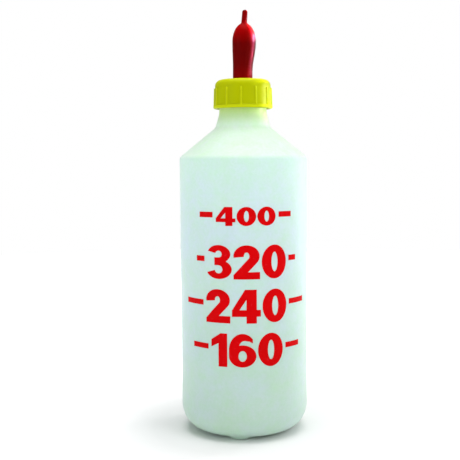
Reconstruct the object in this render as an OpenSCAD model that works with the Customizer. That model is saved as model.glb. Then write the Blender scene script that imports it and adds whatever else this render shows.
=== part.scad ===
// Lamb feeding bottle: a blow-moulded bottle that stands on three moulded feet, a ribbed screw cap,
// a rubber teat clamped by its flange between cap and bottle, and a ball valve in the base that lets
// air in while the bottle is upside down. Millimetres, +Z up, origin on the standing plane under the
// middle of the base. The front of the bottle faces -Y.

/* [Bottle] */
// Outside diameter of the body
body_d = 69; // [60:1:80]
// Height of the shoulder's edge above the standing plane
shoulder_z = 148; // [120:1:180]
// Height of the sloping shoulder
shoulder_h = 15.8; // [12:0.1:20]
// Outside diameter where the shoulder meets the neck
shoulder_top_d = 29.8; // [29:0.1:33]
// Height of the neck, from the top of the shoulder to the rim
neck_h = 22.4; // [22:0.1:30]
// Outside diameter of the neck under the thread
neck_d = 25.4; // [24:0.1:26]
// Diameter of the neck's bore
neck_bore_d = 21.2; // [18:0.1:22]
// Thickness of the blown wall
wall = 1; // [0.8:0.1:1.5]
// Width of the rounded heel between the base and the body
heel_w = 10; // [6:0.5:10]
// Height of the heel
heel_h = 13; // [6:0.5:16]
// Height of the three feet under the base
foot_h = 1.4; // [1.2:0.1:2]
// Diameter of a foot at its root
foot_root_d = 11.8; // [11:0.1:12.2]
// Diameter of a foot at its toe
foot_toe_d = 9.8; // [9:0.1:10.4]

/* [Screw thread] */
// Rise in one turn
pitch = 4; // [3.6:0.1:4.4]
// Turns of thread that engage
turns = 1.5; // [1:0.25:1.75]
// Depth of the thread
thread_depth = 0.95; // [0.6:0.05:1]

/* [Screw cap] */
// Outside diameter of the cap's skirt at its foot, without the ribs
cap_d = 30.6; // [30.4:0.1:34]
// Height of the cap
cap_h = 15.6; // [15:0.1:18]
// Number of grip ribs
rib_count = 12; // [6:1:24]
// Diameter of the hole that the teat stands in
cap_hole_d = 11.2; // [11:0.1:14]

/* [Teat] */
// Height of the teat above the cap
teat_h = 36.9; // [30:0.1:60]
// Diameter of the teat at the cap
teat_base_d = 10.5; // [9:0.1:10.6]
// Diameter of the teat at its fullest
teat_d = 12.6; // [12:0.1:16]
// Length of the thin tip
tip_l = 7.1; // [5:0.1:10]
// Diameter of the thin tip
tip_d = 2.9; // [2.4:0.1:4]
// Thickness of the rubber
teat_wall = 1.3; // [1:0.1:1.6]

/* [Air valve] */
// Diameter of the valve's ball
ball_d = 6.35; // [6:0.05:6.5]
// Distance that the ball lifts off its seat
ball_travel = 2.2; // [1:0.1:3]

/* [Hidden] */
$fn = 48;
arc_step = 12;    // degrees of arc between two points of a rounded corner
thread_step = 12; // degrees of thread between two of its sections
gap = 0.05;       // clearance between faces that meet on parts that come apart
cut = 1;          // how far a cutting shape runs past the face that it cuts
edge = 0.3;       // radius of the small rounded edges
least_edge = 0.2; // smallest radius inside a rounded wall

body_r = body_d / 2;
neck_r = neck_d / 2;
neck_bore_r = neck_bore_d / 2;
base_z = foot_h;
push_up_h = 3.6;    // rise of the hollow in the middle of the base
push_up_r = 10.2;   // radius of its flat roof
push_up_ring_r = 13; // radius where the hollow starts
push_up_blend = 1.5;
heel_steps = 8;
shoulder_blend = 3;
shoulder_top_blend = 4;
neck_blend = 10;
rim_edge = 0.5;
shoulder_top_z = shoulder_z + shoulder_h;
neck_flare_h = 7.4; // height of the flare between the shoulder and the straight neck
neck_z = shoulder_top_z + neck_flare_h;
rim_z = shoulder_top_z + neck_h;

foot_count = 3;
foot_orbit = 21.5;    // distance of a foot's middle from the axis
foot_angle = -96;    // bearing of the first foot
foot_root_sink = 0.9; // how far a foot's cone runs up into the base

flange_t = 1.5;
flange_d = 25;
flange_z = rim_z + gap;
cap_roof_t = 1.6;
cap_roof_z = flange_z + flange_t + gap; // underside of the cap's roof
cap_top_z = cap_roof_z + cap_roof_t;
cap_foot_z = cap_top_z - cap_h;
thread_gap = 0.25; // clearance between a thread's crest and the wall that faces it
cap_bore_r = neck_r + thread_depth + thread_gap;
cap_draft = 0.5;   // how much narrower the skirt is at its top
cap_bead_h = 1.8;  // height of the bead round the skirt's foot
cap_bead_edge = 0.5;
cap_foot_edge = 0.8;
cap_top_edge = 3.6; // radius of the rounded edge between the skirt and the roof
rib_r = 0.8;
rib_proud = 0.6;   // how far a rib and the bead stand out of the skirt
rib_gap = 4.4;     // distance from the ribs' ends to the top of the cap
rib_top_z = cap_top_z - rib_gap;
rib_fn = 16;
rib_angle = -93.3; // bearing of the first rib

thread_root_w = 2.3;
thread_crest_w = 0.9;
thread_lead = 40;  // degrees over which a thread's end runs out
thread_sink = 0.5; // how far a thread's root lies inside its wall
thread_tail = 0.04; // share of a thread's depth that is left at its very ends
neck_thread_drop = 9; // distance from the rim down to where the neck's thread starts
neck_thread_z = rim_z - neck_thread_drop;

teat_tip_z = cap_top_z + teat_h;
tip_root_z = teat_tip_z - tip_l;
dome_h = 9.8;      // height of the teat's dome
dome_z = tip_root_z - dome_h;
dome_steps = 10;
barrel_steps = 14;
swell_h = 4;       // height above the cap at which the teat starts to swell
swell_z = cap_top_z + swell_h;
tip_flare = 0.15;  // how much wider the tip is where it leaves the dome
tip_flare_h = 0.6;
milk_hole_r = 0.5;

valve_hole_r = 5.5;
valve_barrel_r = 5.4;
panel_z = base_z + push_up_h; // underside of the panel that holds the valve
gasket_t = 1;
valve_flange_r = 8;
valve_flange_t = 1.4;
valve_foot_z = panel_z - gasket_t - valve_flange_t;
gasket_margin = 0.4; // how much smaller the gasket is than the flange, in radius
barb_z = panel_z + wall + 2 * gap;
barb_h = 1.4;
barb_r = 6;
air_hole_r = 2;
ball_r = ball_d / 2;
chamber_r = ball_r + 0.3;
seat_h = 5;        // height of the conical seat's top above the foot of the valve
seat_top_z = valve_foot_z + seat_h;
seat_gap = 0.03;   // clearance of the ball from its seat at rest
ball_z = seat_top_z - chamber_r + ball_r * (cos(45) + sin(45)) + seat_gap;
cage_z = ball_z + ball_r + ball_travel + 2 * gap;
cage_t = 1.2;
cage_r = 4.4;
cage_fit = 0.03;   // clearance between the cage and its seat in the valve's body
cage_slot_angle = 45;
cage_slots = 4;
cage_slot_r = 0.95;
cage_slot_orbit = 2.7;

// ---- Outlines. A path is a list of [radius, height, corner radius] points.

function unit(v) = v / norm(v);
function turned(v, a) = [v.x * cos(a) - v.y * sin(a), v.x * sin(a) + v.y * cos(a)];
function flat(p) = [p.x, p.y];
function turn_at(a, b, c) =
    let (u = unit(flat(b) - flat(a)), v = unit(flat(c) - flat(b)))
    atan2(u.x * v.y - u.y * v.x, u * v);

// The points of the corner at b, rounded to its own corner radius
function corner(a, b, c) =
    let (turn = turn_at(a, b, c),
         u = unit(flat(b) - flat(a)),
         start = flat(b) - u * b.z * tan(abs(turn) / 2),
         centre = start + sign(turn) * b.z * turned(u, 90),
         n = max(1, ceil(abs(turn) / arc_step)))
    b.z == 0 || turn == 0 ? [flat(b)]
        : [for (i = [0 : n]) centre + turned(start - centre, turn * i / n)];

function rounded(path) = [
    for (i = [0 : len(path) - 1])
        each (i == 0 || i == len(path) - 1) ? [flat(path[i])]
            : corner(path[i - 1], path[i], path[i + 1])
];

// The path moved to its left by t, with its corners parallel to the old ones
function inset(path, t) = [
    for (i = [0 : len(path) - 1])
        let (last = len(path) - 1,
             before = i == 0 ? undef : turned(unit(flat(path[i]) - flat(path[i - 1])), 90),
             after = i == last ? undef : turned(unit(flat(path[i + 1]) - flat(path[i])), 90),
             n1 = i == 0 ? after : before,
             n2 = i == last ? before : after,
             moved = flat(path[i]) + t * (n1 + n2) / (1 + n1 * n2),
             turn = i == 0 || i == last ? 0 : turn_at(path[i - 1], path[i], path[i + 1]))
        [moved.x, moved.y, path[i].z == 0 ? 0 : max(least_edge, path[i].z - t * sign(turn))]
];

module turned_solid(path) rotate_extrude() polygon(rounded(path));

// A screw thread on a wall of radius root_r, with its crest at crest_r. Both ends run out.
module thread(root_r, crest_r, start_z, from_angle, to_angle) {
    out = sign(crest_r - root_r);
    steps = round((to_angle - from_angle) / thread_step);
    sections = [
        for (i = [0 : steps])
            let (a = from_angle + (to_angle - from_angle) * i / steps,
                 z = start_z + pitch * a / 360,
                 run_in = min(a - from_angle, to_angle - a) / thread_lead,
                 crest = root_r + (crest_r - root_r) * max(thread_tail, min(1, run_in)),
                 sunk = root_r - out * thread_sink)
            each [
                [sunk * cos(a), sunk * sin(a), z - thread_root_w / 2],
                [crest * cos(a), crest * sin(a), z - thread_crest_w / 2],
                [crest * cos(a), crest * sin(a), z + thread_crest_w / 2],
                [sunk * cos(a), sunk * sin(a), z + thread_root_w / 2]
            ]
    ];
    sides = [
        for (i = [0 : steps - 1], k = [0 : 3])
            let (p = 4 * i + k, q = 4 * i + (k + 1) % 4)
            each [[p, p + 4, q], [q, p + 4, q + 4]]
    ];
    end = 4 * steps;
    ends = [[0, 1, 2], [0, 2, 3], [end + 2, end + 1, end], [end + 3, end + 2, end]];
    faces = concat(sides, ends);
    polyhedron(sections, out < 0 ? faces : [for (f = faces) [f.z, f.y, f.x]]);
}

module around(count, first, orbit)
    for (i = [0 : count - 1]) rotate(first + 360 * i / count) translate([orbit, 0, 0]) children();

// ---- Bottle

bottle_path = concat(
    [[0, panel_z, 0], [push_up_r, panel_z, push_up_blend], [push_up_ring_r, base_z, push_up_blend]],
    [
        for (i = [0 : heel_steps])
            let (a = 90 * i / heel_steps)
            [body_r - heel_w + heel_w * sin(a), base_z + heel_h - heel_h * cos(a), 0]
    ],
    [[body_r, shoulder_z, shoulder_blend], [shoulder_top_d / 2, shoulder_top_z, shoulder_top_blend]]
);

// The feet as cones, or the hollows inside them when shrink is the wall's thickness
module feet(shrink = 0) {
    flare = (foot_root_d - foot_toe_d) / 2 / foot_h;
    height = foot_h + foot_root_sink;
    around(foot_count, foot_angle, foot_orbit) translate([0, 0, shrink])
        cylinder(h = height, r1 = foot_toe_d / 2 - shrink, r2 = foot_toe_d / 2 - shrink + flare * height);
}

module bottle() color([0.84, 0.92, 0.88]) {
    outside = concat(bottle_path, [
        [neck_r, neck_z, neck_blend], [neck_r, rim_z, rim_edge],
        [0, rim_z, 0]
    ]);
    inside = concat(inset(bottle_path, wall), [
        [neck_bore_r, neck_z, neck_blend], [neck_bore_r, rim_z + cut, 0], [0, rim_z + cut, 0]
    ]);
    difference() {
        union() {
            turned_solid(outside);
            feet();
            thread(neck_r, neck_r + thread_depth, neck_thread_z, 0, 360 * turns);
        }
        turned_solid(inside);
        feet(wall);
        translate([0, 0, panel_z - cut]) cylinder(h = wall + 2 * cut, r = valve_hole_r);
    }
}

// ---- Air valve

module valve_body() color([0.93, 0.93, 0.9]) {
    barrel_top_z = cage_z + cage_t;
    flange_top_z = valve_foot_z + valve_flange_t;
    turned_solid([
        [air_hole_r, valve_foot_z, 0],
        [valve_flange_r, valve_foot_z, edge],
        [valve_flange_r, flange_top_z, edge],
        [valve_barrel_r, flange_top_z, 0],
        [valve_barrel_r, barb_z, 0],
        [barb_r, barb_z, edge / 3],
        [valve_barrel_r, barb_z + barb_h, 0],
        [valve_barrel_r, barrel_top_z, edge],
        [cage_r + cage_fit, barrel_top_z, 0],
        [cage_r + cage_fit, cage_z, 0],
        [chamber_r, cage_z, 0],
        [chamber_r, seat_top_z, 0],
        [air_hole_r, seat_top_z - (chamber_r - air_hole_r), 0]
    ]);
}

module valve_gasket() color([0.12, 0.12, 0.12])
    turned_solid([
        [valve_barrel_r + gap, panel_z - gasket_t, 0],
        [valve_flange_r - gasket_margin, panel_z - gasket_t, edge],
        [valve_flange_r - gasket_margin, panel_z, edge],
        [valve_barrel_r + gap, panel_z, 0]
    ]);

module valve_ball() color([0.75, 0.75, 0.77]) translate([0, 0, ball_z]) sphere(d = ball_d);

module valve_cage() color([0.93, 0.93, 0.9])
    difference() {
        translate([0, 0, cage_z]) cylinder(h = cage_t, r = cage_r);
        around(cage_slots, cage_slot_angle, cage_slot_orbit)
            translate([0, 0, cage_z - cut]) cylinder(h = cage_t + 2 * cut, r = cage_slot_r);
    }

// ---- Teat

// The teat's outside radius between the cap and the dome
function teat_r(z) =
    let (t = max(0, min(1, (z - swell_z) / (dome_z - swell_z))))
    teat_base_d / 2 + (teat_d - teat_base_d) / 2 * (1 - cos(180 * t)) / 2;

// The dome's outline as an ellipse, from its foot up to where it is as thin as end_r
function dome(foot_r, rise, end_r) =
    let (last = acos(end_r / foot_r))
    [
        for (i = [0 : dome_steps])
            let (a = last * i / dome_steps) [foot_r * cos(a), dome_z + rise * sin(a)]
    ];

// The barrel's outline from foot_z up to the dome, moved in by inwards
function barrel(foot_z, inwards) = [
    for (i = [0 : barrel_steps - 1])
        let (z = foot_z + (dome_z - foot_z) * i / barrel_steps) [teat_r(z) - inwards, z]
];

module teat() color([0.62, 0.03, 0.05]) {
    tip_r = tip_d / 2;
    flange_top_z = flange_z + flange_t;
    crown = [for (a = [0 : 15 : 60]) [tip_r * cos(a), teat_tip_z - tip_r + tip_r * sin(a)]];
    outside = concat(
        [[flange_d / 2, flange_z], [flange_d / 2, flange_top_z]],
        barrel(flange_top_z, 0), dome(teat_d / 2, dome_h, tip_r + tip_flare),
        [[tip_r, tip_root_z + tip_flare_h]], crown, [[milk_hole_r, teat_tip_z]]
    );
    inside = concat(
        barrel(flange_z, teat_wall), dome(teat_d / 2 - teat_wall, dome_h - teat_wall, milk_hole_r)
    );
    rotate_extrude() polygon(concat(outside, [for (i = [len(inside) - 1 : -1 : 0]) inside[i]]));
}

// ---- Screw cap

module screw_cap() color([0.85, 0.9, 0.05]) {
    hole_r = cap_hole_d / 2;
    skirt_foot_r = cap_d / 2;
    skirt_top_r = skirt_foot_r - cap_draft;
    bead_r = skirt_foot_r + rib_proud;
    bead_top_z = cap_foot_z + cap_bead_h;
    rib_h = rib_top_z - cap_foot_z - rib_r;
    lean = atan(cap_draft / (rib_top_z - bead_top_z));
    turned_solid([
        [hole_r, cap_roof_z, 0],
        [cap_bore_r, cap_roof_z, edge],
        [cap_bore_r, cap_foot_z, edge],
        [bead_r, cap_foot_z, cap_foot_edge],
        [bead_r, bead_top_z, cap_bead_edge],
        [skirt_foot_r, bead_top_z, 0],
        [skirt_top_r, cap_top_z, cap_top_edge],
        [hole_r, cap_top_z, edge],
        [hole_r, cap_roof_z, 0]
    ]);
    around(rib_count, rib_angle, skirt_foot_r + rib_proud - rib_r)
        translate([0, 0, cap_foot_z + cap_foot_edge]) rotate([0, -lean, 0]) {
            cylinder(h = rib_h - cap_foot_edge, r = rib_r, $fn = rib_fn);
            translate([0, 0, rib_h - cap_foot_edge]) sphere(r = rib_r, $fn = rib_fn);
        }
    thread(cap_bore_r, cap_bore_r - thread_depth, neck_thread_z + pitch / 2, -180, 360 * turns - 180);
}

bottle();
valve_body();
valve_gasket();
valve_ball();
valve_cage();
teat();
screw_cap();
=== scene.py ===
"""The looks of a lamb feeding bottle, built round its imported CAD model.

The bottle, the screw cap and the teat are remade as smooth moulded pieces in place of their CAD
nodes, and the printed scale is added. The air valve keeps its CAD nodes. Lengths are in metres.
"""

import math

import bmesh
import bpy
from mathutils import Matrix, Vector


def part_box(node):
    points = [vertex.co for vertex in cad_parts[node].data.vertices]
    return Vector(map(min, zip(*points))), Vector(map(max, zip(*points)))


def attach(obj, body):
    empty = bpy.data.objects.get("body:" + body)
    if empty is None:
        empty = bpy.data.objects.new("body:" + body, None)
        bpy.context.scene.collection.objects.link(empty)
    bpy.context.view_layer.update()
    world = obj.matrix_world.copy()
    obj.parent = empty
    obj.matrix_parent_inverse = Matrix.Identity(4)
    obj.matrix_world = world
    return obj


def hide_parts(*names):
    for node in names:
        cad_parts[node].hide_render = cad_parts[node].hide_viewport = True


MM = 0.001

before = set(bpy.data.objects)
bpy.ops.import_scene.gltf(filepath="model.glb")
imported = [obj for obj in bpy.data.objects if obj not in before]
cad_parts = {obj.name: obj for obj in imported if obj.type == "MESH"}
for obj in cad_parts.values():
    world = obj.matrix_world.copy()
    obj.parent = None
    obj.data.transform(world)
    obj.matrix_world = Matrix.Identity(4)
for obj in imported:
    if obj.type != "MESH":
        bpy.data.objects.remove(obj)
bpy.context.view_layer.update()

# ---- Driving sizes, read from the frame

bottle_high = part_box("bottle")[1]
cap_low, cap_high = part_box("screw_cap")
teat_low, teat_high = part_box("teat")
gasket_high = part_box("valve_gasket")[1]

BODY_R = bottle_high.x - 0.06 * MM  # leaves room for the ink inside the CAD model's box
RIM_Z = bottle_high.z
CAP_FOOT_Z = cap_low.z
CAP_TOP_Z = cap_high.z
CAP_R = cap_high.x
FLANGE_R = teat_high.x
FLANGE_Z = teat_low.z
TIP_Z = teat_high.z
PANEL_Z = gasket_high.z  # underside of the panel that holds the valve

# ---- Sizes that the frame does not give

WALL = 1.0 * MM
VALVE_HOLE_R = 5.5 * MM
RECESS_TOP_R = 10.2 * MM   # the recess that the valve sits in, at the panel
RECESS_FOOT_R = 13 * MM    # and where it meets the base
FOOT_H = 1.4 * MM
FLOOR_GAP = 0.01 * MM      # keeps the feet inside the CAD model's box
FOOT_TOE_R = 4.5 * MM
FOOT_ROOT_R = 7.6 * MM
FOOT_ORBIT = 21.5 * MM
FOOT_ANGLES = [math.radians(-96 + 120 * i) for i in range(3)]
FEET = [(FOOT_ORBIT * math.cos(a), FOOT_ORBIT * math.sin(a)) for a in FOOT_ANGLES]
HEEL_W = 10 * MM
HEEL_H = 13 * MM
SHOULDER_Z = 148 * MM
SHOULDER_TOP_Z = 163.8 * MM
SHOULDER_TOP_R = 14.9 * MM
NECK_R = 12.7 * MM
NECK_Z = 171.2 * MM
NECK_BORE_R = 10.6 * MM
SEAM_H = 0.3 * MM          # the pinch-off seam under the base, and half its width
SEAM_CREST_W = 0.2 * MM
SEAM_ROOT_W = 0.9 * MM
PARTING_H = 0.05 * MM      # the mould's parting lines, at left and right
PARTING_W = 0.35 * MM
UNEVEN = 0.035 * MM        # waves in the blown wall

PITCH = 4 * MM
THREAD_TURNS = 1.5
THREAD_DEPTH = 0.95 * MM
THREAD_ROOT_W = 2.3 * MM
THREAD_CREST_W = 0.9 * MM
THREAD_LEAD = math.radians(40)
THREAD_Z = RIM_Z - 9 * MM

CAP_ROOF_T = 1.6 * MM
CAP_BORE_R = NECK_R + THREAD_DEPTH + 0.25 * MM
CAP_HOLE_R = 5.6 * MM
CAP_DRAFT = 0.5 * MM
RIB_COUNT = 12
RIB_PROUD = 0.6 * MM
RIB_HALF_W = 0.6 * MM
RIB_ANGLE = math.radians(-93.3)
SKIRT_FOOT_R = CAP_R - RIB_PROUD
SKIRT_TOP_R = SKIRT_FOOT_R - CAP_DRAFT
BEAD_TOP_Z = CAP_FOOT_Z + 1.8 * MM
RIB_TOP_Z = CAP_TOP_Z - 4.4 * MM

TEAT_WALL = 1.3 * MM
TEAT_BASE_R = 5.25 * MM
TEAT_R = 6.3 * MM
FLANGE_T = 1.5 * MM
TIP_R = 1.45 * MM
TIP_ROOT_Z = TIP_Z - 7.1 * MM
DOME_H = 10 * MM
DOME_Z = TIP_ROOT_Z + 0.2 * MM - DOME_H
BARREL_Z = CAP_TOP_Z + 4 * MM  # where the barrel starts to widen
MILK_HOLE_R = 0.5 * MM
TEAT_LEAN = 0.85 * MM  # how far the soft teat leans to the right
TIP_BEND = 0.5 * MM

# The printed scale. The bars beside a number stand at the height that its volume of milk reaches.
SCALE_ZERO_Z = 5.35 * MM
SCALE_RISE = 0.28375 * MM  # for every millilitre
NUMBER_BELOW = 0.58        # the share of a number's height that is below its bars' middle
BAR_H = 2.8 * MM
BAR_GAP = 1.8 * MM
INK_PROUD = 0.03 * MM
INK_SUNK = 0.05 * MM
INK_GRID = 1.5 * MM


# ---- Outlines: lists of (radius, height, corner radius)


def smooth(low, high, value):
    """0 below low, 1 above high, and a smooth step between them."""
    t = min(1.0, max(0.0, (value - low) / (high - low)))
    return t * t * (3 - 2 * t)


def rounded(points, step=math.radians(9)):
    """The outline with each corner turned into an arc of its own corner radius."""
    out = []
    for i, (r, z, corner) in enumerate(points):
        here = Vector((r, z))
        if corner == 0 or i in (0, len(points) - 1):
            out.append(here)
            continue
        before = (here - Vector(points[i - 1][:2])).normalized()
        after = (Vector(points[i + 1][:2]) - here).normalized()
        turn = math.atan2(before.cross(after), before.dot(after))
        if abs(turn) < 1e-6:
            out.append(here)
            continue
        start = here - before * corner * math.tan(abs(turn) / 2)
        centre = start + math.copysign(corner, turn) * Vector((-before.y, before.x))
        count = max(1, math.ceil(abs(turn) / step))
        for k in range(count + 1):
            out.append(centre + Matrix.Rotation(turn * k / count, 2) @ (start - centre))
    return out


def resampled(outline, spacing):
    """The closed outline with points added so that none are further apart than spacing(point)."""
    out = []
    for here, there in zip(outline, outline[1:] + outline[:1]):
        count = max(1, math.ceil((there - here).length / spacing((here + there) / 2)))
        out += [here.lerp(there, k / count) for k in range(count)]
    return out


def arc(centre_r, centre_z, width, height, first, last, count):
    """Points (radius, height, 0) along an ellipse's arc, angles in degrees from +r towards +z."""
    angles = [math.radians(first + (last - first) * k / count) for k in range(count + 1)]
    return [(centre_r + width * math.cos(a), centre_z + height * math.sin(a), 0) for a in angles]


def left_of(here, there):
    """The direction to the left of the way from one outline point to the next."""
    way = (Vector(there[:2]) - Vector(here[:2])).normalized()
    return Vector((-way.y, way.x))


def inset(points, distance):
    """The open outline moved to its left, with its corners parallel to the old ones."""
    lefts = [left_of(here, there) for here, there in zip(points, points[1:])]
    out = []
    for (r, z, corner), first, last in zip(points, [lefts[0], *lefts], [*lefts, lefts[-1]]):
        moved = Vector((r, z)) + (first + last) * (distance / (1 + first.dot(last)))
        bend = first.cross(last)
        change = 0 if bend == 0 else math.copysign(distance, bend)
        out.append((moved.x, moved.y, max(0.2 * MM, corner - change) if corner else 0))
    return out


# ---- Meshes


def finished(name, mesh):
    """The mesh as an object in the scene."""
    data = bpy.data.meshes.new(name)
    mesh.to_mesh(data)
    mesh.free()
    piece = bpy.data.objects.new(name, data)
    bpy.context.scene.collection.objects.link(piece)
    return piece


def lathe(name, outline, segments, shape):
    """A closed mesh of revolution. shape(angle, radius, height) gives each point's own place."""
    mesh = bmesh.new()
    angles = [2 * math.pi * k / segments for k in range(segments)]
    rings = [[mesh.verts.new(shape(a, p.x, p.y)) for a in angles] for p in outline]
    for ring, following in zip(rings, rings[1:] + rings[:1]):
        for k in range(segments):
            n = (k + 1) % segments
            mesh.faces.new((ring[k], ring[n], following[n], following[k]))
    bmesh.ops.recalc_face_normals(mesh, faces=mesh.faces)
    piece = finished(name, mesh)
    piece.data.shade_smooth()
    return piece


def polar(angle, radius, height):
    """The point (x, y, z) at this angle, radius and height."""
    return (radius * math.cos(angle), radius * math.sin(angle), height)


def thread_height(angle, z, start_z, from_angle, to_angle):
    """How far a right-handed thread stands out of its wall at this angle and height, from 0 to 1."""
    turn = round((z - start_z) / PITCH - angle / (2 * math.pi))
    along = angle + 2 * math.pi * turn
    if not from_angle < along < to_angle:
        return 0
    offset = abs(z - start_z - PITCH * along / (2 * math.pi))
    flank = (THREAD_ROOT_W - THREAD_CREST_W) / 2
    across = 1 - smooth(THREAD_CREST_W / 2, THREAD_CREST_W / 2 + flank, offset)
    return across * smooth(0, THREAD_LEAD, min(along - from_angle, to_angle - along))


# ---- The bottle


def bottle_outline():
    """Up the outside from the valve's hole to the rim, and down the inside again."""
    outer = [
        (VALVE_HOLE_R, PANEL_Z, 0),
        (RECESS_TOP_R, PANEL_Z, 1.6 * MM),
        (RECESS_FOOT_R, FOOT_H, 1.8 * MM),
        *arc(BODY_R - HEEL_W, FOOT_H + HEEL_H, HEEL_W, HEEL_H, -90, 0, 16),
        (BODY_R, SHOULDER_Z, 3 * MM),
        (SHOULDER_TOP_R, SHOULDER_TOP_Z, 4 * MM),
        (NECK_R, NECK_Z, 10 * MM),
    ]
    bore = [(NECK_BORE_R, NECK_Z, 10 * MM), (NECK_BORE_R, RIM_Z, 0.4 * MM)]
    inner = inset(outer[:-1], WALL) + bore
    ring = rounded(outer + [(NECK_R, RIM_Z, 0.5 * MM), *inner[::-1]])

    def spacing(p):
        """Close together on the thread, less so on the feet and their heel, wide elsewhere."""
        if p.y > NECK_Z and p.x > NECK_BORE_R + 0.5 * MM:
            return 0.22 * MM
        return 0.5 * MM if p.y < FOOT_H + HEEL_H else 2.2 * MM

    return resampled(ring, spacing)


def bottle_shape(angle, radius, z):
    """The turned bottle with its feet, pinch-off seam, parting lines, thread and uneven wall."""
    x, y = radius * math.cos(angle), radius * math.sin(angle)
    if z < PANEL_Z + 2 * WALL and radius < BODY_R - 0.2 * HEEL_W:
        from_foot = min(math.dist((x, y), foot) for foot in FEET)
        foot = 1 - smooth(FOOT_TOE_R, FOOT_ROOT_R, from_foot)
        across = max(0, radius - (BODY_R - HEEL_W)) / HEEL_W
        heel_z = FOOT_H + HEEL_H * (1 - math.sqrt(1 - across**2))
        z -= foot * (heel_z - FLOOR_GAP)
        seam = (1 - foot) * (1 - smooth(SEAM_CREST_W, SEAM_ROOT_W, abs(y)))
        seam *= smooth(VALVE_HOLE_R + 3 * MM, VALVE_HOLE_R + 5 * MM, radius)
        seam *= 1 - smooth(0.6 * BODY_R, 0.75 * BODY_R, radius)
        return (x, y, z - SEAM_H * seam)
    if z > NECK_Z and radius > NECK_R - 0.3 * MM:
        crest = THREAD_DEPTH * thread_height(angle, z, THREAD_Z, 0, 2 * math.pi * THREAD_TURNS)
        return polar(angle, radius + crest, z)
    on_body = smooth(HEEL_H, 2 * HEEL_H, z) * (1 - smooth(SHOULDER_Z - 8 * MM, SHOULDER_Z, z))
    waves = math.sin(2 * angle + 40 * z) + math.sin(3 * angle - 71 * z + 1.3)
    line = 1 - smooth(0, PARTING_W, abs(y)) if radius > NECK_R else 0
    return polar(angle, radius - on_body * UNEVEN * (2 + waves) - PARTING_H * (1 - line), z)


def make_bottle():
    piece = lathe("bottle_moulding", bottle_outline(), 256, bottle_shape)
    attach(piece, "bottle")
    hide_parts("bottle")
    return piece


# ---- The printed scale. A digit is a width and its closed outlines, in a box one unit high.

STEM = 0.3   # thickness of upright strokes
BEAM = 0.21  # thickness of level strokes
DIGIT_GAP = 0.05


def oval(x, y, half_w, half_h, first=0, last=360, count=48):
    """Points on an ellipse from angle first to angle last, in degrees."""
    closed = last - first == 360
    steps = range(count if closed else count + 1)
    angles = [math.radians(first + (last - first) * k / count) for k in steps]
    return [(x + half_w * math.cos(a), y + half_h * math.sin(a)) for a in angles]


def digit_0():
    return 0.8, [oval(0.4, 0.5, 0.4, 0.5), oval(0.4, 0.5, 0.4 - STEM, 0.5 - BEAM)]


def digit_1():
    return 0.5, [[(0.23, 0), (0.5, 0), (0.5, 1), (0.3, 1), (0, 0.8), (0, 0.58), (0.23, 0.7)]]


def digit_2():
    bowl = oval(0.38, 0.68, 0.38, 0.32, 188, -40, 30)
    hollow = oval(0.38, 0.68, 0.38 - STEM, 0.32 - BEAM, -40, 188, 30)
    foot = [(0.42, BEAM), (0.77, BEAM), (0.77, 0), (0, 0), (0, 0.13)]
    return 0.77, [bowl + foot + hollow]


def digit_3():
    low = oval(0.37, 0.285, 0.4, 0.285, 55, -160, 36)
    low_hollow = oval(0.37, 0.285, 0.12, 0.12, -170, 90, 24)
    high_hollow = oval(0.37, 0.735, 0.1, 0.1, -90, 165, 24)
    high = oval(0.37, 0.735, 0.36, 0.265, 162, -50, 36)
    return 0.77, [high + low + low_hollow + [(0.24, 0.405), (0.24, 0.635)] + high_hollow]


def digit_4():
    right = 0.42 + STEM
    outside = [
        (0.38, 1), (right, 1), (right, 0.4), (0.84, 0.4), (0.84, 0.2), (right, 0.2),
        (right, 0), (0.42, 0), (0.42, 0.2), (0, 0.2), (0, 0.39),
    ]
    return 0.84, [outside, [(0.42, 0.4), (0.42, 0.7), (0.22, 0.4)]]


def digit_6():
    crown = oval(0.4, 0.5, 0.4, 0.5, 42, 180, 28)
    bowl = oval(0.4, 0.33, 0.4, 0.33, 180, 462, 48)
    gap = oval(0.47, 0.6, 0.17, 0.19, 163, 90, 12)
    return 0.8, [crown + bowl + gap + [(0.6, 0.77), (0.7, 0.71)], oval(0.4, 0.33, 0.12, 0.16)]


DIGITS = {"0": digit_0, "1": digit_1, "2": digit_2, "3": digit_3, "4": digit_4, "6": digit_6}


def number(text, height, stretch, middle, foot_z):
    """The outlines of a printed number, centred on middle, and the places of its two ends."""
    digits = [DIGITS[c]() for c in text]
    scale = height * stretch
    total = scale * (sum(w for w, _ in digits) + DIGIT_GAP * (len(digits) - 1))
    start = middle - total / 2
    out = []
    x = start
    for width, outlines in digits:
        out.append([[(x + u * scale, foot_z + v * height) for u, v in line] for line in outlines])
        x += scale * (width + DIGIT_GAP)
    return out, start, start + total


def bar(left, right, middle_z):
    """The outline of one of the scale's bars."""
    low_z, high_z = middle_z - BAR_H / 2, middle_z + BAR_H / 2
    return [[(left, low_z), (right, low_z), (right, high_z), (left, high_z)]]


def scale_shapes():
    """Every printed shape as outlines of (distance round the bottle from its front, height)."""
    shapes = []
    rows = [  # volume, height of the number, its stretch, the row's ends in degrees from the front
        (400, 9.6 * MM, 1.3, -41, 45),
        (320, 17.4 * MM, 1.02, -45, 51),
        (240, 17.4 * MM, 1.02, -59, 64),
        (160, 17.4 * MM, 1.02, -50, 56),
    ]
    for volume, height, stretch, first, last in rows:
        z = SCALE_ZERO_Z + SCALE_RISE * volume
        left, right = BODY_R * math.radians(first), BODY_R * math.radians(last)
        middle = (left + right) / 2
        digits, start, end = number(str(volume), height, stretch, middle, z - NUMBER_BELOW * height)
        shapes += digits + [bar(left, start - BAR_GAP, z), bar(end + BAR_GAP, right, z)]
    return shapes


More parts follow.
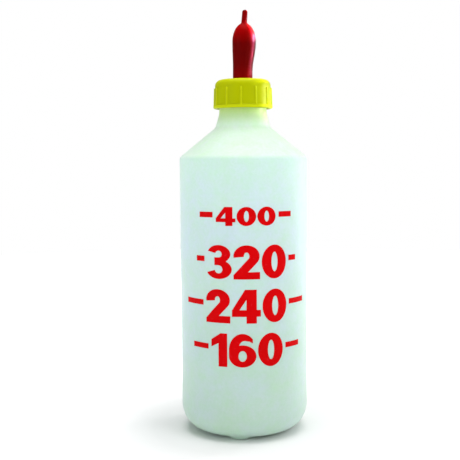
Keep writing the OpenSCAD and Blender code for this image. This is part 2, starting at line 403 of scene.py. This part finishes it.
def make_scale():
    """The scale as a thin closed film of ink that follows the bottle's uneven wall."""
    mesh = bmesh.new()
    for shape in scale_shapes():
        edges = []
        for outline in shape:
            verts = [mesh.verts.new((x, z, 0)) for x, z in outline]
            edges += [mesh.edges.new(pair) for pair in zip(verts, verts[1:] + verts[:1])]
        bmesh.ops.triangle_fill(mesh, edges=edges, use_beauty=True)
    for axis in (0, 1):  # cut into a grid, so that the film can bend round the bottle
        low = min(v.co[axis] for v in mesh.verts)
        high = max(v.co[axis] for v in mesh.verts)
        across = Vector((1 - axis, axis, 0))
        for k in range(1, math.ceil((high - low) / INK_GRID)):
            everything = mesh.verts[:] + mesh.edges[:] + mesh.faces[:]
            place = across * (low + k * INK_GRID)
            bmesh.ops.bisect_plane(mesh, geom=everything, plane_co=place, plane_no=across)
    made = bmesh.ops.extrude_face_region(mesh, geom=mesh.faces[:], use_keep_orig=True)
    raised = {v for v in made["geom"] if isinstance(v, bmesh.types.BMVert)}
    for v in mesh.verts:
        level = INK_PROUD if v in raised else -INK_SUNK
        v.co = bottle_shape(v.co.x / BODY_R - math.pi / 2, BODY_R + level, v.co.y)
    bmesh.ops.recalc_face_normals(mesh, faces=mesh.faces)
    piece = finished("printed_scale", mesh)
    piece.data.shade_smooth()
    piece.data.set_sharp_from_angle(angle=math.radians(35))
    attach(piece, "bottle")
    return piece


# ---- The screw cap


def cap_outline():
    """Round from the middle of the hole's wall: down the inside, and up the outside."""
    roof_z = CAP_TOP_Z - CAP_ROOF_T
    ring = rounded(
        [
            (CAP_HOLE_R, (roof_z + CAP_TOP_Z) / 2, 0),
            (CAP_HOLE_R, roof_z, 0.3 * MM),
            (CAP_BORE_R, roof_z, 0.8 * MM),
            (CAP_BORE_R, CAP_FOOT_Z, 0.4 * MM),
            (CAP_R, CAP_FOOT_Z, 0.8 * MM),
            (CAP_R, BEAD_TOP_Z, 0.55 * MM),
            (SKIRT_FOOT_R, BEAD_TOP_Z + 0.1 * MM, 0.25 * MM),
            (SKIRT_TOP_R, CAP_TOP_Z - 0.25 * MM, 3.4 * MM),
            (CAP_HOLE_R, CAP_TOP_Z, 0.45 * MM),
            (CAP_HOLE_R, (roof_z + CAP_TOP_Z) / 2 + 0.01 * MM, 0),
        ]
    )
    return resampled(ring, lambda p: 0.24 * MM if p.y < RIB_TOP_Z + 1 * MM else 0.5 * MM)


def rib_height(angle, z):
    """How far the nearest grip rib stands out here: a bar with a round back and a round top end."""
    step = 2 * math.pi / RIB_COUNT
    off = (angle - RIB_ANGLE + step / 2) % step - step / 2
    across = off * SKIRT_FOOT_R / RIB_HALF_W
    above = max(0, z - (RIB_TOP_Z - RIB_HALF_W)) / RIB_HALF_W
    return math.sqrt(max(0, 1 - across**2 - above**2))


def cap_shape(angle, radius, z):
    """The turned cap with its grip ribs and its thread."""
    if radius > SKIRT_TOP_R - 0.6 * MM and z > BEAD_TOP_Z - 0.3 * MM:
        lean = CAP_DRAFT * (z - BEAD_TOP_Z) / (CAP_TOP_Z - BEAD_TOP_Z)
        proud = rib_height(angle, z)
        rib = SKIRT_FOOT_R - lean + RIB_PROUD * proud
        return polar(angle, max(radius, min(CAP_R, rib)) if proud > 0 else radius, z)
    if abs(radius - CAP_BORE_R) < 0.05 * MM:
        turns = 2 * math.pi * THREAD_TURNS
        crest = thread_height(angle, z, THREAD_Z + PITCH / 2, -math.pi, turns - math.pi)
        return polar(angle, radius - THREAD_DEPTH * crest, z)
    return polar(angle, radius, z)


def make_cap():
    piece = lathe("screw_cap_moulding", cap_outline(), 480, cap_shape)
    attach(piece, "cap")
    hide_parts("screw_cap")
    return piece


# ---- The teat


def teat_radius(z):
    """The teat's outside radius between its flange and its dome."""
    t = min(1.0, max(0.0, (z - BARREL_Z) / (DOME_Z - BARREL_Z)))
    return TEAT_BASE_R + (TEAT_R - TEAT_BASE_R) * (1 - math.cos(math.pi * t)) / 2


def teat_outline():
    """Up the outside from the flange to the tip, and down the inside again."""
    barrel_foot = FLANGE_Z + FLANGE_T
    rows = 24
    heights = [barrel_foot + (DOME_Z - barrel_foot) * k / rows for k in range(1, rows)]
    last = math.degrees(math.acos((TIP_R + 0.7 * MM) / TEAT_R))
    inner_last = math.degrees(math.acos(MILK_HOLE_R / (TEAT_R - TEAT_WALL)))
    ring = rounded(
        [
            (TEAT_BASE_R - TEAT_WALL, FLANGE_Z, 0.4 * MM),
            (FLANGE_R, FLANGE_Z, 0.4 * MM),
            (FLANGE_R, barrel_foot, 0.4 * MM),
            (TEAT_BASE_R, barrel_foot, 0.25 * MM),
            *[(teat_radius(z), z, 0) for z in heights],
            *arc(0, DOME_Z, TEAT_R, DOME_H, 0, last, 14),
            (TIP_R + 0.1 * MM, TIP_ROOT_Z + 0.15 * MM, 1.2 * MM),
            (TIP_R, TIP_Z - TIP_R, 0),
            *arc(0, TIP_Z - TIP_R, TIP_R, TIP_R, 12, 62, 6),
            (MILK_HOLE_R, TIP_Z - 0.05 * MM, 0.2 * MM),
            (MILK_HOLE_R, DOME_Z + DOME_H, 0),
            *arc(0, DOME_Z, TEAT_R - TEAT_WALL, DOME_H - TEAT_WALL, inner_last, 0, 12),
            *[(teat_radius(z) - TEAT_WALL, z, 0) for z in heights[::-1]],
        ]
    )
    return resampled(ring, lambda p: 0.5 * MM)


def teat_shape(angle, radius, z):
    """The turned teat, leaning a little as soft rubber does, with its tip bent further over."""
    x, y, z = polar(angle, radius, z)
    lean = TEAT_LEAN * smooth(CAP_TOP_Z + 3 * MM, DOME_Z, z)
    bend = TIP_BEND * smooth(TIP_ROOT_Z - 2 * MM, TIP_Z, z)
    return (x + lean + bend, y, z)


def make_teat():
    piece = lathe("teat_moulding", teat_outline(), 128, teat_shape)
    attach(piece, "teat")
    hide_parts("teat")
    return piece


# ---- Materials


def shader(name, colour, roughness):
    """A new material with a Principled shader. Returns (material, its node tree, the shader)."""
    material = bpy.data.materials.new(name)
    material.use_nodes = True
    tree = material.node_tree
    bsdf = tree.nodes["Principled BSDF"]
    bsdf.inputs["Base Color"].default_value = (*colour, 1)
    bsdf.inputs["Roughness"].default_value = roughness
    material.diffuse_color = (*colour, 1)
    return material, tree, bsdf


def noise(tree, scale, detail=3.0, stretch=(1, 1, 1)):
    """A noise value fixed to the piece. scale is in features per metre."""
    place = tree.nodes.new("ShaderNodeTexCoord")
    mapping = tree.nodes.new("ShaderNodeMapping")
    mapping.inputs["Scale"].default_value = stretch
    texture = tree.nodes.new("ShaderNodeTexNoise")
    texture.inputs["Scale"].default_value = scale
    texture.inputs["Detail"].default_value = detail
    tree.links.new(place.outputs["Object"], mapping.inputs["Vector"])
    tree.links.new(mapping.outputs["Vector"], texture.inputs["Vector"])
    return texture.outputs["Fac"]


def between(tree, value, low, high, start=0.3, stop=0.7):
    """value, from start to stop, turned into a number from low to high."""
    remap = tree.nodes.new("ShaderNodeMapRange")
    remap.inputs["From Min"].default_value = start
    remap.inputs["From Max"].default_value = stop
    remap.inputs["To Min"].default_value = low
    remap.inputs["To Max"].default_value = high
    tree.links.new(value, remap.inputs["Value"])
    return remap.outputs["Result"]


def fade(tree, value, start, stop):
    """0 where value is start, 1 where it is stop."""
    return between(tree, value, 0, 1, start, stop)


def from_axis(tree):
    """The distance from the piece's upright axis."""
    place = tree.nodes.new("ShaderNodeTexCoord")
    flat = tree.nodes.new("ShaderNodeVectorMath")
    flat.operation = "MULTIPLY"
    flat.inputs[1].default_value = (1, 1, 0)
    tree.links.new(place.outputs["Object"], flat.inputs[0])
    distance = tree.nodes.new("ShaderNodeVectorMath")
    distance.operation = "LENGTH"
    tree.links.new(flat.outputs["Vector"], distance.inputs[0])
    return distance.outputs["Value"]


def height_above(tree, low, high):
    """0 at the height low on the piece, 1 at the height high."""
    place = tree.nodes.new("ShaderNodeTexCoord")
    split = tree.nodes.new("ShaderNodeSeparateXYZ")
    tree.links.new(place.outputs["Object"], split.inputs["Vector"])
    return fade(tree, split.outputs["Z"], low, high)


def two_tone(tree, value, first, second):
    """The two colours mixed by value. first may also be another node's colour."""
    mix = tree.nodes.new("ShaderNodeMix")
    mix.data_type = "RGBA"
    if isinstance(first, tuple):
        mix.inputs["A"].default_value = (*first, 1)
    else:
        tree.links.new(first, mix.inputs["A"])
    mix.inputs["B"].default_value = (*second, 1)
    tree.links.new(value, mix.inputs["Factor"])
    return mix.outputs["Result"]


def stacked(tree, steps):
    """The colours of steps, (height, colour) from the bottom up, blended by height on the piece."""
    colour = steps[0][1]
    for (low, _), (high, following) in zip(steps, steps[1:]):
        colour = two_tone(tree, height_above(tree, low, high), colour, following)
    return colour


def tinted(tree, colour, factor):
    """The colour made darker or lighter by a factor that changes over the surface."""
    scale = tree.nodes.new("ShaderNodeVectorMath")
    scale.operation = "SCALE"
    tree.links.new(colour, scale.inputs["Vector"])
    tree.links.new(factor, scale.inputs["Scale"])
    return scale.outputs["Vector"]


def filtered(tree, first, second):
    """The product of two colours, channel by channel."""
    product = tree.nodes.new("ShaderNodeVectorMath")
    product.operation = "MULTIPLY"
    tree.links.new(first, product.inputs[0])
    tree.links.new(second, product.inputs[1])
    return product.outputs["Vector"]


def combined(tree, operation, first, second):
    """The result of a Math node's operation on two values."""
    node = tree.nodes.new("ShaderNodeMath")
    node.operation = operation
    tree.links.new(first, node.inputs[0])
    tree.links.new(second, node.inputs[1])
    return node.outputs["Value"]


def bump(tree, bsdf, layers):
    """Adds bump to the shader. layers is a list of (height value, distance)."""
    normal = None
    for value, distance in layers:
        node = tree.nodes.new("ShaderNodeBump")
        node.inputs["Distance"].default_value = distance
        tree.links.new(value, node.inputs["Height"])
        if normal is not None:
            tree.links.new(normal, node.inputs["Normal"])
        normal = node.outputs["Normal"]
    tree.links.new(normal, bsdf.inputs["Normal"])


def surface_noise(tree, scale, low, high, detail=3.0):
    """A number that wanders from low to high over the surface. scale is in features per metre."""
    return between(tree, noise(tree, scale, detail), low, high)


def mottled(tree, colour, scale, first, second, detail=3.0):
    """The colour multiplied by a tint that wanders between two others over the surface."""
    tint = two_tone(tree, surface_noise(tree, scale, 0, 1, detail), first, second)
    return filtered(tree, colour, tint)


def bottle_plastic():
    """Natural polyethylene, milky, with painted light and shade: lighter on the shoulder, darker low on
    the body, and a painted shadow and yellow reflection of the cap on the neck.
    """
    material, tree, bsdf = shader("natural_polyethylene", (0.70, 0.90, 0.80), 0.45)
    colour = stacked(tree, [
        # Painted shade and light: the body is darker low down and the shoulder lighter, as the light
        # falls from above.
        (4 * MM, (0.52, 0.70, 0.58)),
        (50 * MM, (0.47, 0.63, 0.57)),
        (110 * MM, (0.525, 0.68, 0.66)),
        (SHOULDER_Z - 1 * MM, (0.56, 0.77, 0.67)),
        (SHOULDER_Z + 1 * MM, (0.67, 0.88, 0.71)),
        (165 * MM, (0.66, 0.88, 0.67)),
        # Painted shadow and painted yellow reflection of the cap on the neck, at and under the cap's
        # foot.
        (173.5 * MM, (0.45, 0.61, 0.18)),
        (178 * MM, (0.58, 0.77, 0.42)),
        (186 * MM, (0.66, 0.88, 0.67)),
    ])
    colour = mottled(tree, colour, 55, (0.98, 1.01, 0.94), (1.01, 0.99, 1.06))
    colour = mottled(tree, colour, 190, (0.96, 1.01, 0.95), (1.02, 0.99, 1.05))
    colour = mottled(tree, colour, 700, (0.97, 0.99, 0.96), (1.03, 1.01, 1.04), detail=2)
    tree.links.new(colour, bsdf.inputs["Base Color"])
    tree.links.new(surface_noise(tree, 160, 0.40, 0.52), bsdf.inputs["Roughness"])
    bsdf.inputs["Subsurface Weight"].default_value = 0.5
    bsdf.inputs["Subsurface Radius"].default_value = (0.9, 1.0, 0.95)
    bsdf.inputs["Subsurface Scale"].default_value = 2.5 * MM
    bsdf.inputs["Specular IOR Level"].default_value = 0.25
    bsdf.inputs["Sheen Weight"].default_value = 0.25
    bsdf.inputs["Sheen Roughness"].default_value = 0.35
    bump(tree, bsdf, [
        (noise(tree, 2200, 2), 0.012 * MM),
        (noise(tree, 260, 2, (1, 1, 0.06)), 0.03 * MM),
    ])
    return material


def print_ink():
    """Red ink, a little paler in small spots where it is thin."""
    material, tree, bsdf = shader("red_ink", (0.58, 0.0004, 0.0015), 0.42)
    thin = fade(tree, noise(tree, 700), 0.62, 0.75)
    tone = two_tone(tree, thin, (0.58, 0.0004, 0.0015), (0.60, 0.01, 0.018))
    tone = tinted(tree, tone, surface_noise(tree, 90, 0.92, 1.05))
    tree.links.new(tone, bsdf.inputs["Base Color"])
    tree.links.new(surface_noise(tree, 500, 0.36, 0.5), bsdf.inputs["Roughness"])
    bsdf.inputs["Specular IOR Level"].default_value = 0.02
    bump(tree, bsdf, [(noise(tree, 2600, 2), 0.006 * MM)])
    return material


def cap_plastic():
    """Yellow polypropylene, with a painted highlight, paler, on its top edge and its ribs' upper ends.
    """
    material, tree, bsdf = shader("yellow_polypropylene", (0.36, 0.41, 0.0005), 0.38)
    cloud = surface_noise(tree, 120, 0, 1)
    tone = two_tone(tree, cloud, (0.355, 0.40, 0.0004), (0.375, 0.42, 0.0006))
    tone = tinted(tree, tone, surface_noise(tree, 35, 0.96, 1.04))
    # Painted highlight: paler and less saturated on the ribs' upper ends and on the top edge, where the
    # light catches them.
    proud = fade(tree, from_axis(tree), SKIRT_FOOT_R - 0.05 * MM, CAP_R)
    near_rib_top = height_above(tree, RIB_TOP_Z - 2.5 * MM, RIB_TOP_Z)
    on_ribs = combined(tree, "MULTIPLY", proud, between(tree, near_rib_top, 0.25, 1, 0, 1))
    near_top = height_above(tree, CAP_TOP_Z - 4 * MM, CAP_TOP_Z + 0.4 * MM)
    on_top = combined(tree, "MULTIPLY", near_top, near_top)
    painted_highlight = combined(tree, "MAXIMUM", on_ribs, on_top)
    tree.links.new(two_tone(tree, painted_highlight, tone, (0.78, 0.84, 0.012)), bsdf.inputs["Base Color"])
    tree.links.new(surface_noise(tree, 400, 0.32, 0.44), bsdf.inputs["Roughness"])
    bsdf.inputs["Subsurface Weight"].default_value = 0.1
    bsdf.inputs["Subsurface Radius"].default_value = (1.0, 1.0, 0.1)
    bsdf.inputs["Subsurface Scale"].default_value = 1.2 * MM
    bsdf.inputs["Specular IOR Level"].default_value = 0.03
    bump(tree, bsdf, [(noise(tree, 3000, 2), 0.01 * MM), (noise(tree, 500, 2), 0.015 * MM)])
    return material


def teat_rubber():
    """Red rubber, with painted light and shade: lighter at its foot and on its dome, darker on its
    barrel; and smoother on its bulge.
    """
    material, tree, bsdf = shader("red_rubber", (0.16, 0.0005, 0.001), 0.4)
    # Painted light and shade: the dome is lighter, where the light from above falls, and the barrel
    # darker.
    colour = stacked(tree, [
        (188 * MM, (0.26, 0.0008, 0.001)),
        (197 * MM, (0.11, 0.0002, 0.0003)),
        (208 * MM, (0.11, 0.0002, 0.0003)),
        (217 * MM, (0.36, 0.0004, 0.0006)),
        (221 * MM, (0.18, 0.0003, 0.0005)),
    ])
    colour = tinted(tree, colour, surface_noise(tree, 180, 0.9, 1.1))
    tree.links.new(colour, bsdf.inputs["Base Color"])
    above_barrel = height_above(tree, 202 * MM, 208 * MM)
    below_tip = height_above(tree, 221 * MM, 215 * MM)
    on_bulge = combined(tree, "MULTIPLY", above_barrel, below_tip)
    polish = between(tree, on_bulge, 0.5, 0.31, 0, 1)
    roughness = combined(tree, "MULTIPLY", surface_noise(tree, 900, 0.85, 1.15), polish)
    tree.links.new(roughness, bsdf.inputs["Roughness"])
    bsdf.inputs["Specular IOR Level"].default_value = 0.021
    bump(tree, bsdf, [(noise(tree, 2600, 3), 0.02 * MM), (noise(tree, 420, 2), 0.03 * MM)])
    return material


def valve_plastic():
    material, tree, bsdf = shader("white_acetal", (0.80, 0.80, 0.76), 0.4)
    cloud = surface_noise(tree, 300, 0, 1)
    tone = two_tone(tree, cloud, (0.76, 0.76, 0.72), (0.82, 0.82, 0.79))
    tree.links.new(tone, bsdf.inputs["Base Color"])
    tree.links.new(surface_noise(tree, 700, 0.34, 0.46), bsdf.inputs["Roughness"])
    bump(tree, bsdf, [(noise(tree, 3000, 2), 0.01 * MM)])
    return material


def gasket_rubber():
    material, tree, bsdf = shader("black_rubber", (0.02, 0.02, 0.02), 0.6)
    cloud = surface_noise(tree, 600, 0, 1)
    tone = two_tone(tree, cloud, (0.015, 0.015, 0.015), (0.03, 0.03, 0.03))
    tree.links.new(tone, bsdf.inputs["Base Color"])
    tree.links.new(surface_noise(tree, 1500, 0.5, 0.7), bsdf.inputs["Roughness"])
    bump(tree, bsdf, [(noise(tree, 4000, 2), 0.02 * MM)])
    return material


def ball_steel():
    material, tree, bsdf = shader("ball_steel", (0.6, 0.6, 0.61), 0.16)
    bsdf.inputs["Metallic"].default_value = 1
    cloud = surface_noise(tree, 500, 0, 1)
    tone = two_tone(tree, cloud, (0.55, 0.55, 0.56), (0.64, 0.64, 0.65))
    tree.links.new(tone, bsdf.inputs["Base Color"])
    tree.links.new(surface_noise(tree, 900, 0.12, 0.24), bsdf.inputs["Roughness"])
    bump(tree, bsdf, [(noise(tree, 5000, 2), 0.002 * MM)])
    return material


def paint(piece, material):
    """Gives the piece this one material."""
    piece.data.materials.clear()
    piece.data.materials.append(material)


# ---- Camera, lights and floor

SKY_LIGHT = 0.28
FLOOR_R = 10
FLOOR_DROP = 0.02 * MM  # keeps the floor clear of the feet
WHITE = (1, 1, 1)
MIDDLE = (0, 0, 0.12)  # half way up the bottle
LIGHTS = [  # name, place, what it points at, size, power in watts, colour, spread in degrees
    ("key", (0.75, -0.55, 0.55), MIDDLE, (0.6, 0.8), 2.6, WHITE, 180),
    ("top", (0.05, 0, 1.1), MIDDLE, (0.9, 0.9), 10, WHITE, 180),
    ("rim", (0.55, 0.33, 0.2), (0, 0, 0.1), (0.12, 0.5), 1.35, (1, 0.95, 0.98), 180),
    ("fill", (-1, -0.6, 0.35), MIDDLE, (0.8, 0.8), 3.1, (0.9, 0.93, 1), 180),
    ("teat", (0.5, 0.25, 0.35), (0, 0, 0.213), (0.01, 0.03), 0.024, (0.95, 0.55, 1), 3),
    ("cap", (0.6, 0.12, 0.22), (0, 0, 0.182), (0.02, 0.02), 0.0044, (1, 1, 0.75), 2.4),
]


def make_camera():
    """The camera stands in front of the bottle, near two thirds of its height, tipped down a little."""
    data = bpy.data.cameras.new("camera")
    data.sensor_width = 36
    data.lens = 66.5
    camera = bpy.data.objects.new("camera", data)
    camera.location = (0, -0.4616, 0.1475)
    pitch, yaw, roll = math.radians(90 - 4.84), math.radians(0.92), math.radians(-0.41)
    turn = Matrix.Rotation(yaw, 4, "Z") @ Matrix.Rotation(pitch, 4, "X")
    camera.rotation_euler = (turn @ Matrix.Rotation(roll, 4, "Z")).to_euler()
    bpy.context.scene.collection.objects.link(camera)
    bpy.context.scene.camera = camera


def make_light(name, place, target, size, power, colour, spread):
    """An area light at place that points at target."""
    data = bpy.data.lights.new(name, "AREA")
    data.shape = "RECTANGLE"
    data.size, data.size_y = size
    data.energy = power
    data.color = colour
    data.spread = math.radians(spread)
    light = bpy.data.objects.new(name, data)
    light.location = place
    light.rotation_euler = (Vector(target) - Vector(place)).to_track_quat("-Z", "Y").to_euler()
    bpy.context.scene.collection.objects.link(light)


def make_floor():
    """A pale floor: plain paint round the bottle, brightening evenly to white further out."""
    mesh = bmesh.new()
    bmesh.ops.create_circle(mesh, cap_ends=True, segments=96, radius=FLOOR_R)
    floor = finished("floor", mesh)
    floor.location.z = -FLOOR_DROP
    material, tree, bsdf = shader("floor_paint", (0.9, 0.9, 0.9), 0.9)
    distance = from_axis(tree)
    glow = fade(tree, distance, 0.05, 0.25)
    paint_left = fade(tree, distance, 0.93, 0.57)
    tone = two_tone(tree, noise(tree, 8), (0.91, 0.91, 0.91), (0.93, 0.93, 0.93))
    tree.links.new(tinted(tree, tone, paint_left), bsdf.inputs["Base Color"])
    tree.links.new(glow, bsdf.inputs["Emission Strength"])
    bsdf.inputs["Emission Color"].default_value = (*WHITE, 1)
    bsdf.inputs["Specular IOR Level"].default_value = 0
    paint(floor, material)


def make_world():
    """White wherever the camera looks past everything, and a dimmer, even light on the object."""
    world = bpy.data.worlds.new("studio")
    world.use_nodes = True
    tree = world.node_tree
    background = tree.nodes["Background"]
    rays = tree.nodes.new("ShaderNodeLightPath")
    strength = between(tree, rays.outputs["Is Camera Ray"], SKY_LIGHT, 1, 0, 1)
    tree.links.new(strength, background.inputs["Strength"])
    background.inputs["Color"].default_value = (*WHITE, 1)
    bpy.context.scene.world = world


make_camera()
make_floor()
make_world()
for light in LIGHTS:
    make_light(*light)
bpy.context.scene.view_settings.view_transform = "Standard"

paint(make_bottle(), bottle_plastic())
paint(make_cap(), cap_plastic())
paint(make_teat(), teat_rubber())
paint(make_scale(), print_ink())
acetal = valve_plastic()
paint(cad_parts["valve_body"], acetal)
paint(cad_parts["valve_cage"], acetal)
paint(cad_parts["valve_gasket"], gasket_rubber())
paint(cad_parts["valve_ball"], ball_steel())
